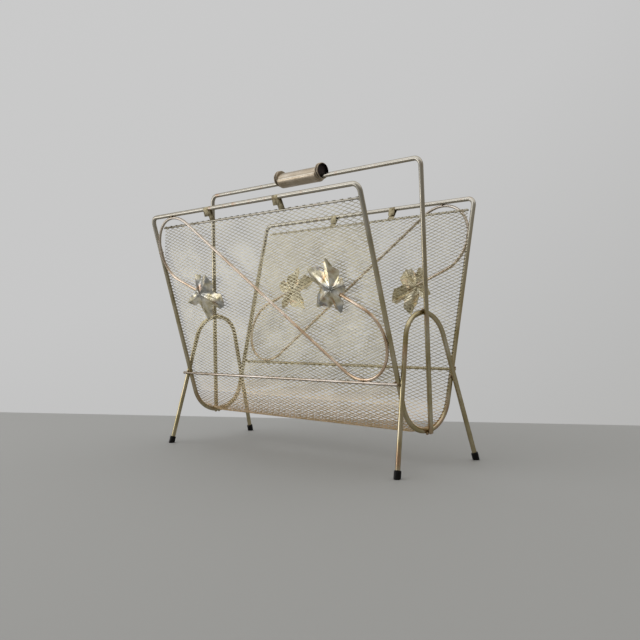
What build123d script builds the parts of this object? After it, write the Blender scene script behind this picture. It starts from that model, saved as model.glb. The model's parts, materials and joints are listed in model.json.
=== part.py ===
"""A wire magazine rack: two bent hoops carry a mesh trough, two arches stand it on rubber feet,
and a tall handle frame with a rolled grip lifts it. All sizes are in millimetres.

+X runs along the rack, -Y is its front and +Z is up. The origin is on the floor, under its middle.
"""
import os
from math import acos, asin, atan2, cos, degrees, hypot, pi, radians, sin, sqrt, tan

from build123d import *

os.makedirs("parts", exist_ok=True)

# Wire and sheet
rod_diameter = 6.0            # hoops, leg arches and handle
wire_diameter = 3.8           # stretchers and scrolls
mesh_rod_diameter = 2.6       # rods along the top edges of the mesh
mesh_thickness = 1.0
leaf_thickness = 0.8
seat_gap = 0.05               # room between two pieces that are welded or clipped to each other

# Hoops
basket_length = 412.0         # between the middles of a hoop's two ends
rail_height = 337.0           # top rails above the floor
rail_spread = 224.0           # from the front rail to the rear rail
trough_height = 45.0          # lowest stretch of the hoops above the floor
trough_width = 70.0           # between the corners that the bottom bends round off
rail_bend = 10.0              # bend radius at the ends of a top rail
hoop_end_run = 1.0            # straight run between a bottom bend and the hoop's end

# Leg arches
foot_spread = 156.0           # from a front foot to the rear foot of the same arch
arch_height = 189.5           # top of an arch above the floor
arch_bend = 37.7              # bend radius at the top of an arch
leg_lean = 5.8                # degrees that an arch leans out towards its feet, seen from the front

# Foot caps
cap_diameter = 8.8
cap_height = 10.0
cap_sole = 2.2                # rubber below the end of the leg
cap_rim = 0.8                 # rounding of the cap's upper edge

# Handle and grip
handle_height = 378.0
handle_bend = 10.0
grip_length = 89.0
grip_place = -5.5             # middle of the grip along the rail
grip_diameter = 21.8
grip_wall = 0.9
grip_round = 2.0              # rounding of the tube's ends
grip_rise = 3.5               # axis of the tube above the rail
collar_diameter = 22.4        # the collars on the tube's ends sit higher than the tube
collar_length = 6.0
collar_rise = 6.8             # axis of the collars above the rail
collar_wall = 1.0
collar_hollow = 4.0           # depth of the hollow in a collar's end
collar_lap = 0.5              # length of a collar inside the tube's end
groove_depth = 0.45           # groove round each collar
groove_width = 1.8
sleeve_wall = 0.8             # inner fold of the grip, which turns on the rail
running_gap = 0.05            # between the rail and the inner fold

# Stretchers
rear_stretcher_rise = 11.0    # the rear stretcher is welded this much higher than the front one
stretcher_overhang = 1.5      # of the front stretcher, past the outside of the leg that it ends on
rear_stretcher_lap = 1.5      # of the rear stretcher's right end, past the middle of the hoop's rod

# Mesh
mesh_rod_drop = 17.5          # from a top rail down to its mesh rod, along the lean
mesh_rod_gaps = {             # from the middle of a hoop's end to the end of its mesh rod
    "left": 17.0,
    "right": 4.0,
}
mesh_edge_drop = 4.2          # from the mesh rod down to the flat edge of the sheet
mesh_overhang = 1.0           # past the middle of the hoop's end rods
mesh_corner = 45.0            # height over which the sheet narrows towards its rod
gaps_along = 14
gaps_up = 11
strand_width = 3.0

# Scrolls and leaves
scroll_loop = 47.5            # bend radius of a loop
scroll_turns = {              # degrees that each loop turns through
    "front": {"upper": 196.0, "lower": 190.0},
    "rear": {"upper": 196.0, "lower": 196.0},
}
scroll_tail = 48.0            # straight end of the wire, from the loop to its tip
leaf_overlap = 10.0           # length of the tail that lies behind the leaf
leaf_length = 61.0            # from the foot of the midrib to the tip
leaf_half_width = 38.0
leaf_turns = {                # degrees that a leaf is turned from the line of its wire, seen from outside
    "front_left": 0.0,
    "front_right": -4.0,
    "rear_left": 0.0,
    "rear_right": 0.0,
}

# Clips
clip_width = 11.0
clip_thickness = 0.8
clip_flap = 10.0               # outer flap below the middle of the rail
clip_hook = 150.0             # degrees that the clip turns under the mesh rod
clip_places = {"front": (-74.0, 67.0), "rear": (-67.0, 49.0)}

rod_bead = 1.3                # radius of a weld bead between two rods
wire_bead = 0.9               # radius of a weld bead on a thinner wire

# Sizes that follow from those above
rod_radius = rod_diameter / 2
wire_radius = wire_diameter / 2
mesh_rod_radius = mesh_rod_diameter / 2
half_length = basket_length / 2
rod_spacing = rod_diameter + seat_gap
side_lean = atan2((rail_spread - trough_width) / 2, rail_height - trough_height)
bottom_turn = pi / 2 - side_lean
bottom_tangent = trough_width / 2 - hoop_end_run
bottom_bend = bottom_tangent / tan(bottom_turn / 2)


def hoop_y(height):
    """Distance of a hoop's straight side from the middle of the rack."""
    return trough_width / 2 + (height - trough_height) * tan(side_lean)


# An arch drawn flat: its legs touch the top bend and meet at a peak above it
lean = radians(leg_lean)
foot_half = foot_spread / 2
bend_middle = arch_height / cos(lean) - arch_bend
leg_angle = acos(arch_bend / hypot(foot_half, bend_middle)) - atan2(bend_middle, foot_half)
arch_peak = foot_half / tan(leg_angle)
leg_slope = tan(leg_angle) / cos(lean)

# Where the legs pass the hoops, and where that puts the feet and the handle
side_way = Vector(0, -sin(side_lean), cos(side_lean))
leg_way = Vector(-sin(lean) * cos(leg_angle), sin(leg_angle), cos(lean) * cos(leg_angle))
cross_way = side_way.cross(leg_way).normalized()
cross_height = (foot_half - hoop_y(0)) / (tan(side_lean) + leg_slope)
cross_y = hoop_y(cross_height)
cross_x = half_length + rod_spacing / abs(cross_way.X)
foot_x = cross_x + cross_height * tan(lean)
arch_x = foot_x - arch_height * tan(lean)
upright_foot_x = half_length + rod_spacing + seat_gap
upright_x = arch_x + rod_spacing
upright_slope = (upright_foot_x - upright_x) / (arch_height - trough_height)
handle_corner_x = upright_foot_x - upright_slope * (handle_height - trough_height)

# Distances along a leaning side, from the floor up, and outwards from the hoop's own plane
rail_up = rail_height / cos(side_lean)
corner_up = trough_height / cos(side_lean)
mesh_rod_up = rail_up - mesh_rod_drop
mesh_rod_out = -(rod_radius + mesh_rod_radius + seat_gap)
stretcher_out = rod_radius + wire_radius + seat_gap
scroll_out = stretcher_out / 2
leaf_out = scroll_out + wire_radius + seat_gap
mesh_out = -(rod_radius + seat_gap)

# The front stretcher lies in the outer notch where leg and hoop cross, against both
notch_height = cross_height + stretcher_out * (1 / cos(side_lean) - hypot(1, leg_slope)) / (
    -tan(side_lean) - leg_slope
)
notch_up = (notch_height + stretcher_out * sin(side_lean)) / cos(side_lean)
stretcher_up = {"front": notch_up, "rear": notch_up + rear_stretcher_rise}

# The two sides: the rear one is the front one turned half round the middle of the rack
side_turn = {"front": 1, "rear": -1}
side_plane = {
    side: Plane(
        origin=(0, -turn * hoop_y(0), 0),
        x_dir=(turn, 0, 0),
        z_dir=(0, -turn * cos(side_lean), -sin(side_lean)),
    )
    for side, turn in side_turn.items()
}
end_turn = {"right": 1, "left": -1}
loop_turn = {"upper": 1, "lower": -1}
arch_plane = {
    end: Plane(
        origin=(turn * foot_x, 0, 0),
        x_dir=(0, turn, 0),
        z_dir=(turn * cos(lean), 0, sin(lean)),
    )
    for end, turn in end_turn.items()
}


def finish(piece, label):
    """Name a piece and write it to its own file."""
    piece.part.label = label
    export_step(piece.part, f"parts/{label}.step")


def bent_rod(diameter, points, bends):
    """A round rod along straight runs joined by bends."""
    with BuildPart() as rod:
        with BuildLine() as route:
            FilletPolyline(*points, radius=bends)
        with BuildSketch(Plane(origin=route.line @ 0, z_dir=route.line % 0)):
            Circle(diameter / 2)
        sweep()
    return rod


def straight_rod(diameter, start, end):
    """A round rod from one point to another."""
    with BuildPart() as rod:
        with BuildSketch(Plane(origin=start, z_dir=end - start)):
            Circle(diameter / 2)
        extrude(amount=(end - start).length)
    return rod


def flat(point):
    """A point drawn on a plane, in that plane's own two directions."""
    return (point.X, point.Y)


def end_of(side, x):
    """The end of the rack that a place along one of its sides is nearer to."""
    return "right" if x * side_turn[side] > 0 else "left"


def scroll_route(side):
    """Middle of a scroll, and its upper loop's centre and start angle seen from there."""
    rod_reach = sqrt(stretcher_out**2 - scroll_out**2)
    wire_reach = sqrt((wire_diameter + seat_gap) ** 2 - (stretcher_out - scroll_out) ** 2)
    loop_x = half_length - rod_reach - scroll_loop
    top_up = rail_up - rod_reach - scroll_loop
    low_up = stretcher_up[side] + wire_reach + scroll_loop
    half_rise = (top_up - low_up) / 2
    heading = atan2(half_rise, -loop_x) - asin(scroll_loop / hypot(loop_x, half_rise))
    return Vector(0, (top_up + low_up) / 2), Vector(-loop_x, half_rise), heading - pi / 2


def scroll_end(side, loop):
    """End of a loop, the tip of the tail that follows it, and the way that the tail points."""
    middle, centre, start = scroll_route(side)
    turn = loop_turn[loop]
    end_angle = start + radians(scroll_turns[side][loop])
    tail_way = Vector(-sin(end_angle), cos(end_angle)) * turn
    loop_end = middle + (centre + Vector(cos(end_angle), sin(end_angle)) * scroll_loop) * turn
    return loop_end, loop_end + tail_way * scroll_tail, tail_way


def scroll_wire(side, diameter):
    """The wire of one side: a loop and a tail at each end of one straight diagonal."""
    middle, centre, start = scroll_route(side)
    loop_start = centre + Vector(cos(start), sin(start)) * scroll_loop
    upper_end, upper_tip, _ = scroll_end(side, "upper")
    lower_end, lower_tip, _ = scroll_end(side, "lower")
    upper_half = scroll_turns[side]["upper"] / 2
    lower_half = scroll_turns[side]["lower"] / 2
    first = degrees(start)
    opposite = first + 180
    with BuildPart() as wire:
        with BuildLine(side_plane[side].offset(scroll_out)) as route:
            Line(flat(upper_tip), flat(upper_end))
            CenterArc(flat(middle + centre), scroll_loop, first + upper_half, upper_half)
            CenterArc(flat(middle + centre), scroll_loop, first, upper_half)
            Line(flat(middle + loop_start), flat(middle - loop_start))
            CenterArc(flat(middle - centre), scroll_loop, opposite, lower_half)
            CenterArc(flat(middle - centre), scroll_loop, opposite + lower_half, lower_half)
            Line(flat(lower_end), flat(lower_tip))
        with BuildSketch(Plane(origin=route.line @ 0, z_dir=route.line % 0)):
            Circle(diameter / 2)
        sweep()
    return wire


def hoop(side, diameter):
    """One hoop, from its right end round the top rail to its left end."""
    turn = side_turn[side]
    corners = [
        (half_length, -turn * seat_gap, trough_height),
        (half_length, -turn * trough_width / 2, trough_height),
        (half_length, -turn * rail_spread / 2, rail_height),
    ]
    mirrored = [(-x, y, z) for x, y, z in reversed(corners)]
    return bent_rod(diameter, corners + mirrored, [bottom_bend, rail_bend, rail_bend, bottom_bend])


def handle(diameter):
    """The handle frame, from the foot of one upright over the rail to the other."""
    foot_z = trough_height - rod_radius
    foot = upright_foot_x + upright_slope * rod_radius
    points = [
        (foot, 0, foot_z),
        (handle_corner_x, 0, handle_height),
        (-handle_corner_x, 0, handle_height),
        (-foot, 0, foot_z),
    ]
    return bent_rod(diameter, points, [handle_bend, handle_bend])


def leg_arch(end, diameter):
    """One arch, from the front foot over the top to the rear foot."""
    start_y = foot_half - cap_sole * sin(leg_angle)
    start_up = cap_sole * cos(leg_angle)
    with BuildPart() as arch:
        with BuildLine(arch_plane[end]) as route:
            FilletPolyline((-start_y, start_up), (0, arch_peak), (start_y, start_up), radius=[arch_bend])
        start_way = route.line % 0
        section_way = arch_plane[end].z_dir.cross(start_way)
        with BuildSketch(Plane(origin=route.line @ 0, x_dir=section_way, z_dir=start_way)):
            Circle(diameter / 2)
        sweep()
    return arch


def stretcher(side, diameter):
    """One stretcher, across the outside of its hoop."""
    plane = side_plane[side]
    on_leg = cross_x + rod_radius + stretcher_overhang
    far_end = {"front": on_leg, "rear": half_length + rear_stretcher_lap}[side]
    up = stretcher_up[side]
    start = plane.from_local_coords(Vector(-far_end, up, stretcher_out))
    end = plane.from_local_coords(Vector(half_length + rod_radius - seat_gap, up, stretcher_out))
    return straight_rod(diameter, start, end)


def mesh_rod_ends(side):
    """Where a mesh rod starts and ends along its side."""
    reach = {end: half_length - gap for end, gap in mesh_rod_gaps.items()}
    return sorted(end_turn[end] * side_turn[side] * reach[end] for end in end_turn)


def mesh_rod(side, diameter):
    """The rod in the top edge of the mesh, which hangs in the clips inside the hoop."""
    plane = side_plane[side]
    first, last = mesh_rod_ends(side)
    start = plane.from_local_coords(Vector(first, mesh_rod_up, mesh_rod_out))
    end = plane.from_local_coords(Vector(last, mesh_rod_up, mesh_rod_out))
    return straight_rod(diameter, start, end)


# Rods and wires
for side in side_turn:
    finish(hoop(side, rod_diameter), f"{side}_hoop")
    finish(stretcher(side, wire_diameter), f"{side}_stretcher")
    finish(mesh_rod(side, mesh_rod_diameter), f"{side}_mesh_rod")
    finish(scroll_wire(side, wire_diameter), f"{side}_scroll_wire")
for end in end_turn:
    finish(leg_arch(end, rod_diameter), f"{end}_leg_arch")
finish(handle(rod_diameter), "handle_frame")

# Foot caps: closed rubber sleeves along the legs, cut flat on the floor
for end in end_turn:
    for side, toward in (("front", -1), ("rear", 1)):
        arch_side = toward * end_turn[end]
        foot_point = arch_plane[end].from_local_coords(Vector(arch_side * foot_half, 0, 0))
        peak_point = arch_plane[end].from_local_coords(Vector(0, arch_peak, 0))
        leg_plane = Plane(origin=foot_point, z_dir=peak_point - foot_point)
        with BuildPart() as cap:
            with BuildSketch(leg_plane.offset(-cap_diameter / 2)):
                Circle(cap_diameter / 2)
            extrude(amount=cap_diameter / 2 + cap_height)
            fillet(cap.edges().sort_by(Axis.Z)[-1], cap_rim)
            with BuildSketch(leg_plane.offset(cap_sole - seat_gap)):
                Circle(rod_radius + seat_gap)
            extrude(amount=cap_height, mode=Mode.SUBTRACT)
            split(bisect_by=Plane.XY, keep=Keep.TOP)
        finish(cap, f"{side}_{end}_foot_cap")

# Mesh: two flat holed panels inside the hoops, and the rounded trough that joins them
panel_low = corner_up + bottom_tangent
panel_high = mesh_rod_up - mesh_edge_drop
panel_width = 2 * (half_length + mesh_overhang)
panel_half = panel_width / 2
corner_low = panel_high - mesh_corner
gap_pitch_x = (panel_width - strand_width) / gaps_along
gap_pitch_up = (panel_high - panel_low - strand_width) / gaps_up
gap_x = gap_pitch_x - strand_width
gap_up = gap_pitch_up - strand_width
gap_corners = [(-gap_x / 2, 0), (0, -gap_up / 2), (gap_x / 2, 0), (0, gap_up / 2)]
for side in side_turn:
    first, last = mesh_rod_ends(side)
    with BuildSketch() as sheet:
        with BuildLine():
            Polyline(
                (-panel_half, panel_low),
                (panel_half, panel_low),
                (panel_half, corner_low),
                (last, panel_high),
                (first, panel_high),
                (-panel_half, corner_low),
                close=True,
            )
        make_face()
    with BuildSketch() as gaps:
        with Locations((0, (panel_low + panel_high) / 2)):
            with GridLocations(gap_pitch_x, gap_pitch_up, gaps_along, gaps_up):
                Polygon(*gap_corners)
            with GridLocations(gap_pitch_x, gap_pitch_up, gaps_along - 1, gaps_up - 1):
                Polygon(*gap_corners)
        add(offset(sheet.sketch, -strand_width, mode=Mode.PRIVATE), mode=Mode.INTERSECT)
    with BuildPart() as panel:
        with BuildSketch(side_plane[side].offset(mesh_out)):
            add(sheet.sketch)
            add(gaps.sketch, mode=Mode.SUBTRACT)
        extrude(amount=-mesh_thickness)
    finish(panel, f"{side}_mesh_panel")

trough_outer = bottom_bend - rod_radius - seat_gap
trough_inner = trough_outer - mesh_thickness
bend_z = trough_height + bottom_bend
front_start = 180 + degrees(side_lean)
sweep_angle = 90 - degrees(side_lean)
with BuildPart() as trough:
    with BuildSketch(Plane.YZ):
        with BuildLine():
            for radius in (trough_outer, trough_inner):
                CenterArc((-hoop_end_run, bend_z), radius, front_start, sweep_angle)
                Line((-hoop_end_run, bend_z - radius), (hoop_end_run, bend_z - radius))
                CenterArc((hoop_end_run, bend_z), radius, 270, sweep_angle)
            for turn in (-1, 1):
                out_y = turn * cos(side_lean)
                Line(
                    (turn * hoop_end_run + trough_inner * out_y, bend_z - trough_inner * sin(side_lean)),
                    (turn * hoop_end_run + trough_outer * out_y, bend_z - trough_outer * sin(side_lean)),
                )
        make_face()
    extrude(amount=panel_half, both=True)
finish(trough, "mesh_trough")

# Leaves: five-lobed stamped plates on the outer face of the scroll wires' tips.
# Half of the outline, as shares of the leaf's length and half width, from the tip to the foot.
leaf_outline = [
    (1.00, 0.00),
    (0.90, 0.17),
    (0.78, 0.32),
    (0.66, 0.26),
    (0.54, 0.30),
    (0.60, 0.62),
    (0.48, 1.00),
    (0.34, 0.78),
    (0.22, 0.74),
    (0.14, 0.44),
    (0.06, 0.62),
    (-0.14, 0.56),
    (-0.10, 0.24),
    (0.02, 0.07),
]
half_leaf = [(along * leaf_length, across * leaf_half_width) for along, across in leaf_outline]
other_half = [(along, -across) for along, across in reversed(half_leaf[1:])]
for side, plane in side_plane.items():
    for loop in loop_turn:
        _, tip, tail_way = scroll_end(side, loop)
        label = f"{side}_{end_of(side, tip.X)}"
        foot = tip - tail_way * leaf_overlap
        leaf_way = tail_way.rotate(Axis.Z, leaf_turns[label])
        leaf_plane = Plane(
            origin=plane.from_local_coords(Vector(foot.X, foot.Y, leaf_out)),
            x_dir=plane.x_dir * leaf_way.X + plane.y_dir * leaf_way.Y,
            z_dir=plane.z_dir,
        )
        with BuildPart() as leaf:
            with BuildSketch(leaf_plane):
                with BuildLine():
                    Polyline(*half_leaf, *other_half, close=True)
                make_face()
            extrude(amount=leaf_thickness)
        finish(leaf, f"{label}_leaf")

# Clips: straps folded over a top rail and hooked under its mesh rod. The short flap of every clip
# hangs on the front of its rail, so the rear straps run down behind theirs.
fold = rod_radius + seat_gap
hook = mesh_rod_radius + seat_gap
strap_out = fold + clip_thickness
hook_out = hook + clip_thickness
hook_middle = Vector(mesh_rod_out, -mesh_rod_drop)
hook_way = atan2(-mesh_rod_drop, mesh_rod_out)
strap_turn = acos((fold - hook) / hook_middle.length)


def on_fold(radius, angle):
    """A point of an arc about the rail, by its angle in radians."""
    return flat(Vector(radius * cos(angle), radius * sin(angle)))


def on_hook(radius, angle):
    """A point of an arc about the mesh rod, by its angle in radians."""
    return flat(hook_middle + Vector(radius * cos(angle), radius * sin(angle)))


for side, places in clip_places.items():
    plane = side_plane[side]
    turn = side_turn[side]
    flap_angle = {"front": 0, "rear": 180}[side]
    strap_angle = hook_way - turn * strap_turn
    strap_sweep = turn * (turn * (degrees(strap_angle) - flap_angle) % 360)
    hook_end = strap_angle + turn * radians(clip_hook)
    for place in places:
        clip_plane = Plane(
            origin=plane.from_local_coords(Vector(place, rail_up, 0)),
            x_dir=plane.z_dir,
            z_dir=-plane.x_dir,
        )
        with BuildPart() as clip:
            with BuildSketch(clip_plane):
                with BuildLine():
                    Line((turn * strap_out, -clip_flap), (turn * strap_out, 0))
                    CenterArc((0, 0), strap_out, flap_angle, strap_sweep)
                    Line(on_fold(strap_out, strap_angle), on_hook(hook_out, strap_angle))
                    CenterArc(flat(hook_middle), hook_out, degrees(strap_angle), turn * clip_hook)
                    Line(on_hook(hook_out, hook_end), on_hook(hook, hook_end))
                    CenterArc(flat(hook_middle), hook, degrees(strap_angle), turn * clip_hook)
                    Line(on_hook(hook, strap_angle), on_fold(fold, strap_angle))
                    CenterArc((0, 0), fold, flap_angle, strap_sweep)
                    Line((turn * fold, 0), (turn * fold, -clip_flap))
                    Line((turn * fold, -clip_flap), (turn * strap_out, -clip_flap))
                make_face()
            extrude(amount=clip_width / 2, both=True)
        finish(clip, f"{side}_{end_of(side, place)}_clip")

# Grip: a rolled tube with a raised collar on each end, whose inner fold turns on the rail
grip_half = grip_length / 2
grip_radius = grip_diameter / 2
collar_radius = collar_diameter / 2
grip_z = handle_height + grip_rise
collar_z = handle_height + collar_rise
tube_half = grip_half - collar_length
fold_half = grip_half - collar_hollow
groove_start = grip_half - (collar_length + groove_width) / 2
half_collar = [
    (tube_half - collar_lap, 0),
    (tube_half - collar_lap, collar_radius),
    (groove_start, collar_radius),
    (groove_start, collar_radius - groove_depth),
    (groove_start + groove_width, collar_radius - groove_depth),
    (groove_start + groove_width, collar_radius),
    (grip_half, collar_radius),
    (grip_half, collar_radius - collar_wall),
    (fold_half, collar_radius - collar_wall),
    (fold_half, 0),
]
across_grip = Plane.YZ.offset(grip_place)
with BuildPart() as grip:
    with BuildSketch(across_grip):
        with Locations((0, grip_z)):
            Circle(grip_radius)
    extrude(amount=tube_half, both=True)
    fillet(grip.edges().filter_by(GeomType.CIRCLE), grip_round)
    with BuildSketch(across_grip):
        with Locations((0, grip_z)):
            Circle(grip_radius - grip_wall)
    extrude(amount=tube_half - grip_wall, both=True, mode=Mode.SUBTRACT)
    for turn in end_turn.values():
        with BuildSketch(Plane.XZ):
            with BuildLine():
                Polyline(*[(grip_place + turn * x, collar_z + r) for x, r in half_collar], close=True)
            make_face()
        revolve(axis=Axis((0, 0, collar_z), (1, 0, 0)))
    with BuildSketch(across_grip):
        with Locations((0, handle_height)):
            Circle(rod_radius + running_gap + sleeve_wall)
    extrude(amount=fold_half, both=True)
    with BuildSketch(across_grip):
        web_height = handle_height - grip_z + grip_radius - grip_wall / 2
        with Locations((0, handle_height - web_height / 2)):
            Rectangle(2 * sleeve_wall, web_height)
    extrude(amount=tube_half - grip_wall / 2, both=True)
    with BuildSketch(across_grip):
        with Locations((0, handle_height)):
            Circle(rod_radius + running_gap)
    extrude(amount=grip_half, both=True, mode=Mode.SUBTRACT)
finish(grip, "handle_grip")

# Welds: small beads in the crevices beside each point where rods or wires touch
def nearest(first, first_way, second, second_way):
    """The points at which two straight rods come nearest to each other."""
    normal = first_way.cross(second_way)
    across = second - first
    along_first = across.cross(second_way).dot(normal) / normal.dot(normal)
    along_second = across.cross(first_way).dot(normal) / normal.dot(normal)
    return first + first_way * along_first, second + second_way * along_second


def bead_pair(first, first_way, first_radius, second, second_way, second_radius, bead):
    """Middles of the two beads that lie against both of two touching rods, one on either side."""
    across = second - first
    out = across.normalized()
    first_side = first_way.cross(out).normalized()
    second_side = second_way.cross(out).normalized()
    side = (first_side + second_side).normalized()
    first_reach = first_radius + bead + seat_gap
    second_reach = second_radius + bead + seat_gap
    along = (first_reach**2 - second_reach**2 + across.length**2) / (2 * across.length)
    aside = sqrt(first_reach**2 - along**2) / side.dot(first_side)
    return [first + out * along + side * aside * sign for sign in (1, -1)]


rod_beads = []
stretcher_beads = []
side_beads = []
across_rack = Vector(0, 1, 0)
for turn in end_turn.values():
    upright_way = Vector(-turn * upright_slope, 0, 1).normalized()
    upright_foot = Vector(turn * upright_foot_x, 0, trough_height)
    for rod_x, rod_z, outer in ((half_length, trough_height, min), (arch_x, arch_height, max)):
        rod_point = Vector(turn * rod_x, 0, rod_z)
        on_rod, on_upright = nearest(rod_point, across_rack, upright_foot, upright_way)
        pair = bead_pair(on_rod, across_rack, rod_radius, on_upright, upright_way, rod_radius, rod_bead)
        bead = outer(pair, key=lambda point: point.Z)
        rod_beads += [bead, Vector(bead.X, -bead.Y, bead.Z)]
    for toward in (-1, 1):
        hoop_way = Vector(0, -toward * side_way.Y, side_way.Z)
        foot_way = Vector(turn * leg_way.X, -toward * leg_way.Y, leg_way.Z)
        hoop_point = Vector(turn * half_length, toward * cross_y, cross_height)
        leg_point = Vector(turn * cross_x, toward * cross_y, cross_height)
        on_hoop, on_leg = nearest(hoop_point, hoop_way, leg_point, foot_way)
        pair = bead_pair(on_hoop, hoop_way, rod_radius, on_leg, foot_way, rod_radius, rod_bead)
        rod_beads.append(min(pair, key=lambda point: abs(point.Y)))
for side, plane in side_plane.items():
    middle, centre, _ = scroll_route(side)
    upper = middle + centre
    lower = middle - centre
    along_rack = plane.x_dir
    up_side = plane.y_dir
    for rod_point, radius, loop_centre, loop_out, way in (
        (Vector(upper.X, rail_up, 0), rod_radius, upper, Vector(0, 1), along_rack),
        (Vector(-half_length, upper.Y, 0), rod_radius, upper, Vector(-1, 0), up_side),
        (Vector(half_length, lower.Y, 0), rod_radius, lower, Vector(1, 0), up_side),
        (Vector(lower.X, stretcher_up[side], stretcher_out), wire_radius, lower, Vector(0, -1), along_rack),
    ):
        wire_point = loop_centre + loop_out * scroll_loop + Vector(0, 0, scroll_out)
        on_rod = plane.from_local_coords(rod_point)
        on_wire = plane.from_local_coords(wire_point)
        side_beads += bead_pair(on_rod, way, radius, on_wire, way, wire_radius, wire_bead)
    for turn in end_turn.values():
        on_hoop = plane.from_local_coords(Vector(turn * half_length, stretcher_up[side], 0))
        on_wire = plane.from_local_coords(Vector(turn * half_length, stretcher_up[side], stretcher_out))
        stretcher_beads += bead_pair(
            on_hoop, up_side, rod_radius, on_wire, along_rack, wire_radius, wire_bead
        )

for label, groups in (
    ("frame_welds", ((rod_beads, rod_bead), (stretcher_beads, wire_bead))),
    ("side_welds", ((side_beads, wire_bead),)),
):
    with BuildPart() as welds:
        for points, radius in groups:
            with Locations(*points):
                Sphere(radius)
    finish(welds, label)

print(f"feet at x {foot_x:.1f}, crossing at z {cross_height:.1f}, handle corner at x {handle_corner_x:.1f}")
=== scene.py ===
# %% [markdown]
# # A wire magazine rack
# The rack is bent from plated wire: two hoops hold a trough of expanded metal, two arches stand it on
# rubber feet, and a tall handle carries a rolled grip. Scrolls with stamped leaves adorn its sides.
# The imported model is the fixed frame: every piece made here goes where that frame says.

# %% Load the frame
import json
from math import acos, asin, atan2, ceil, cos, exp, hypot, pi, radians, sin, sqrt, tan

import bmesh
import bpy
from mathutils import Matrix, Vector, noise


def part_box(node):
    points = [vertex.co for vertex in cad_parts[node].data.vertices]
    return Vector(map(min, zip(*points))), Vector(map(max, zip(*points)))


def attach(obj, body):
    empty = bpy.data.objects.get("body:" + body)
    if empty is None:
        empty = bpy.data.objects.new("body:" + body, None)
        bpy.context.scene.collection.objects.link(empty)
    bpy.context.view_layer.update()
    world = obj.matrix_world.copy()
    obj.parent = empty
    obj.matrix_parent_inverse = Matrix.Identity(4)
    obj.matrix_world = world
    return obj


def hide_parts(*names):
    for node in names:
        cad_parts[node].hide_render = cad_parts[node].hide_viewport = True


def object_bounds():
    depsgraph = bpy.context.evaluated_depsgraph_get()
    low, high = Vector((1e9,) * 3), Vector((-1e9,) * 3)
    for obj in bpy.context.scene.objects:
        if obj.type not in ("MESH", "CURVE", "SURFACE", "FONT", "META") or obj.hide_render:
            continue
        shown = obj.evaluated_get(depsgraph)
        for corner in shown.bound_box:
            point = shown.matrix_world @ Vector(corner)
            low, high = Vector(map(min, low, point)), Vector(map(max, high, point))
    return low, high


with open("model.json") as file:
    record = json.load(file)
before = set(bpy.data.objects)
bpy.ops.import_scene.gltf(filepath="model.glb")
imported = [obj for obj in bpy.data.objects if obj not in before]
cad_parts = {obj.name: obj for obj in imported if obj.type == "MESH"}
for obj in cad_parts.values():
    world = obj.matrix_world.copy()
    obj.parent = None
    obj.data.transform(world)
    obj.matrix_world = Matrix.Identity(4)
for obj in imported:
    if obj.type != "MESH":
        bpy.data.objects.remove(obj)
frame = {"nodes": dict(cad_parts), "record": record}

mm = 0.001
cad_low, cad_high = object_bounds()
print("rack measures", [round(side / mm, 1) for side in cad_high - cad_low], "mm")

# %% [markdown]
# The camera stands low, in front of the right end. A camera looks along its own -Z axis, so its matrix is
# built from three directions: right, up and back. Turning by yaw, pitch and roll gives them. A constraint
# could aim it at the rack, but would not give it the small roll that it has.

# %% Camera
camera_place = Vector((835.8, -801.4, 193.8)) * mm
camera_yaw = radians(45.31)
camera_pitch = radians(-0.60)
camera_roll = radians(-1.46)
camera_lens = 46.72

ahead = Vector((
    -sin(camera_yaw) * cos(camera_pitch),
    cos(camera_yaw) * cos(camera_pitch),
    sin(camera_pitch),
))
level = Vector((cos(camera_yaw), sin(camera_yaw), 0))
upright = level.cross(ahead)
to_right = level * cos(camera_roll) + upright * sin(camera_roll)
to_top = upright * cos(camera_roll) - level * sin(camera_roll)

camera_data = bpy.data.cameras.new("camera")
camera_data.lens = camera_lens
camera_data.sensor_width = 36
camera = bpy.data.objects.new("camera", camera_data)
bpy.context.scene.collection.objects.link(camera)
turned = Matrix((to_right, to_top, -ahead)).transposed().to_4x4()
camera.matrix_world = Matrix.Translation(camera_place) @ turned
bpy.context.scene.camera = camera
bpy.context.scene.view_settings.view_transform = "Standard"
print("camera is", round(camera_place.length, 2), "m from the rack's foot")

# %% [markdown]
# Polished wire shows its surroundings, so the stage matters as much as the metal. A plain floor ends a
# little behind the rack. The world stands for a room that is pale on one side and dim on the other, so each
# wire gets a light and a shaded edge. Pale cards round the rack could do that too, but from other sides
# they would stand in the way.

# %% Floor
def object_from(bm, name, materials):
    """Turn a finished bmesh into an object at the origin."""
    mesh = bpy.data.meshes.new(name)
    bm.to_mesh(mesh)
    bm.free()
    for material in materials:
        mesh.materials.append(material)
    mesh.shade_smooth()
    piece = bpy.data.objects.new(name, mesh)
    bpy.context.scene.collection.objects.link(piece)
    return piece


def start_finish(name, metallic):
    """A new material with its node tree and its shader."""
    material = bpy.data.materials.new(name)
    material.use_nodes = True
    tree = material.node_tree
    shader = tree.nodes["Principled BSDF"]
    shader.inputs["Metallic"].default_value = metallic
    return material, tree, shader


floor_half = 4.0
floor_behind = 0.322
floor_turn = camera_yaw - radians(19.7)
floor_paint, _, floor_shader = start_finish("floor_paint", 0.0)
floor_shader.inputs["Base Color"].default_value = (0.368, 0.368, 0.357, 1)
floor_shader.inputs["Roughness"].default_value = 0.7

bm = bmesh.new()
bmesh.ops.create_grid(bm, x_segments=1, y_segments=1, size=floor_half)
bmesh.ops.translate(bm, vec=(0, floor_behind - floor_half, 0), verts=bm.verts)
bmesh.ops.rotate(bm, matrix=Matrix.Rotation(floor_turn, 3, "Z"), verts=bm.verts)
floor = object_from(bm, "floor", [floor_paint])
print("floor ends", floor_behind, "m behind the rack")

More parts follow.
